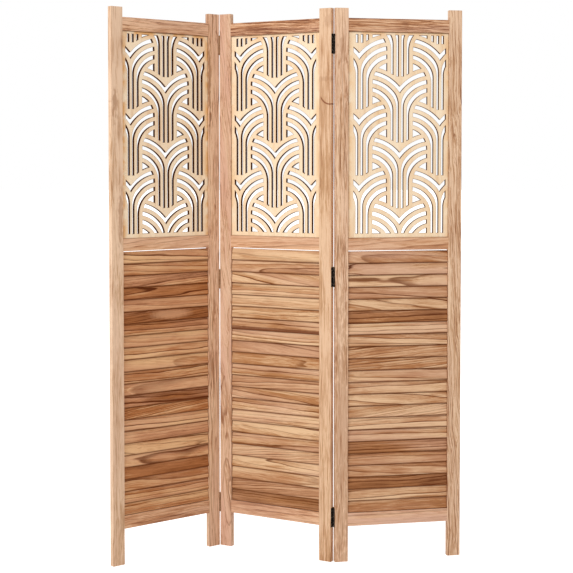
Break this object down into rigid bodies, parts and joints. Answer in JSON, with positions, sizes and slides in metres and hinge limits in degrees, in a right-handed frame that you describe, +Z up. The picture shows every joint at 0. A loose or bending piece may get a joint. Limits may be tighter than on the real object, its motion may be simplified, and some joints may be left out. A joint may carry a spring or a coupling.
{
  "type": "folding screen",
  "caption": "Hinged three-panel folding screen: wooden frames with pierced fan-pattern fretwork above and fixed louvre slats below, standing in a zigzag on its stile feet.",
  "frame": {"origin": "on the floor, in the middle of the standing screen's bounding box", "axes": "+Z up, along the stiles; +Y to the back of the screen, away from the viewer; +X to the viewer's right, from the left panel to the right panel"},
  "size_m": [1.0858, 0.2456, 1.7],
  "materials": {
    "stile": "satin, planed pale wood with straight upright grain",
    "rail": "satin, lightly scorched wood with grain along the rail",
    "fretwork": "matte pale board, burnt brown on its cut walls",
    "slat": "satin, scorched wood with strong dark grain that differs from slat to slat",
    "hinge": "dark bronze lacquer on pressed steel",
    "hinge_pin": "dark bronze lacquer on steel",
    "screw": "dark bronze lacquer on steel"
  },
  "bodies": {
    "left_panel": {"left_panel_left_stile": "stile", "left_panel_right_stile": "stile", "left_panel_top_rail": "rail", "left_panel_middle_rail": "rail", "left_panel_bottom_rail": "rail", "left_panel_fretwork": "fretwork", "left_panel_slats": "slat", "left_joint_top_hinge_side_leaf": "hinge", "left_joint_middle_hinge_side_leaf": "hinge", "left_joint_bottom_hinge_side_leaf": "hinge", "left_joint_side_screws": "screw"},
    "middle_panel": {"middle_panel_left_stile": "stile", "middle_panel_right_stile": "stile", "middle_panel_top_rail": "rail", "middle_panel_middle_rail": "rail", "middle_panel_bottom_rail": "rail", "middle_panel_fretwork": "fretwork", "middle_panel_slats": "slat", "left_joint_top_hinge_middle_leaf": "hinge", "left_joint_top_hinge_pin": "hinge_pin", "left_joint_middle_hinge_middle_leaf": "hinge", "left_joint_middle_hinge_pin": "hinge_pin", "left_joint_bottom_hinge_middle_leaf": "hinge", "left_joint_bottom_hinge_pin": "hinge_pin", "left_joint_middle_screws": "screw", "right_joint_top_hinge_middle_leaf": "hinge", "right_joint_top_hinge_pin": "hinge_pin", "right_joint_middle_hinge_middle_leaf": "hinge", "right_joint_middle_hinge_pin": "hinge_pin", "right_joint_bottom_hinge_middle_leaf": "hinge", "right_joint_bottom_hinge_pin": "hinge_pin", "right_joint_middle_screws": "screw"},
    "right_panel": {"right_panel_left_stile": "stile", "right_panel_right_stile": "stile", "right_panel_top_rail": "rail", "right_panel_middle_rail": "rail", "right_panel_bottom_rail": "rail", "right_panel_fretwork": "fretwork", "right_panel_slats": "slat", "right_joint_top_hinge_side_leaf": "hinge", "right_joint_middle_hinge_side_leaf": "hinge", "right_joint_bottom_hinge_side_leaf": "hinge", "right_joint_side_screws": "screw"}
  },
  "joints": [
    {"name": "left_hinges", "type": "hinge", "parent": "middle_panel", "child": "left_panel", "pos_m": [-0.20364, 0.109, 0.875], "axis": [0, 0, 1], "range_deg": [-69.2, 110.8]},
    {"name": "right_hinges", "type": "hinge", "parent": "middle_panel", "child": "right_panel", "pos_m": [0.14108, -0.10205, 0.875], "axis": [0, 0, 1], "range_deg": [-41.9, 138.1]}
  ]
}
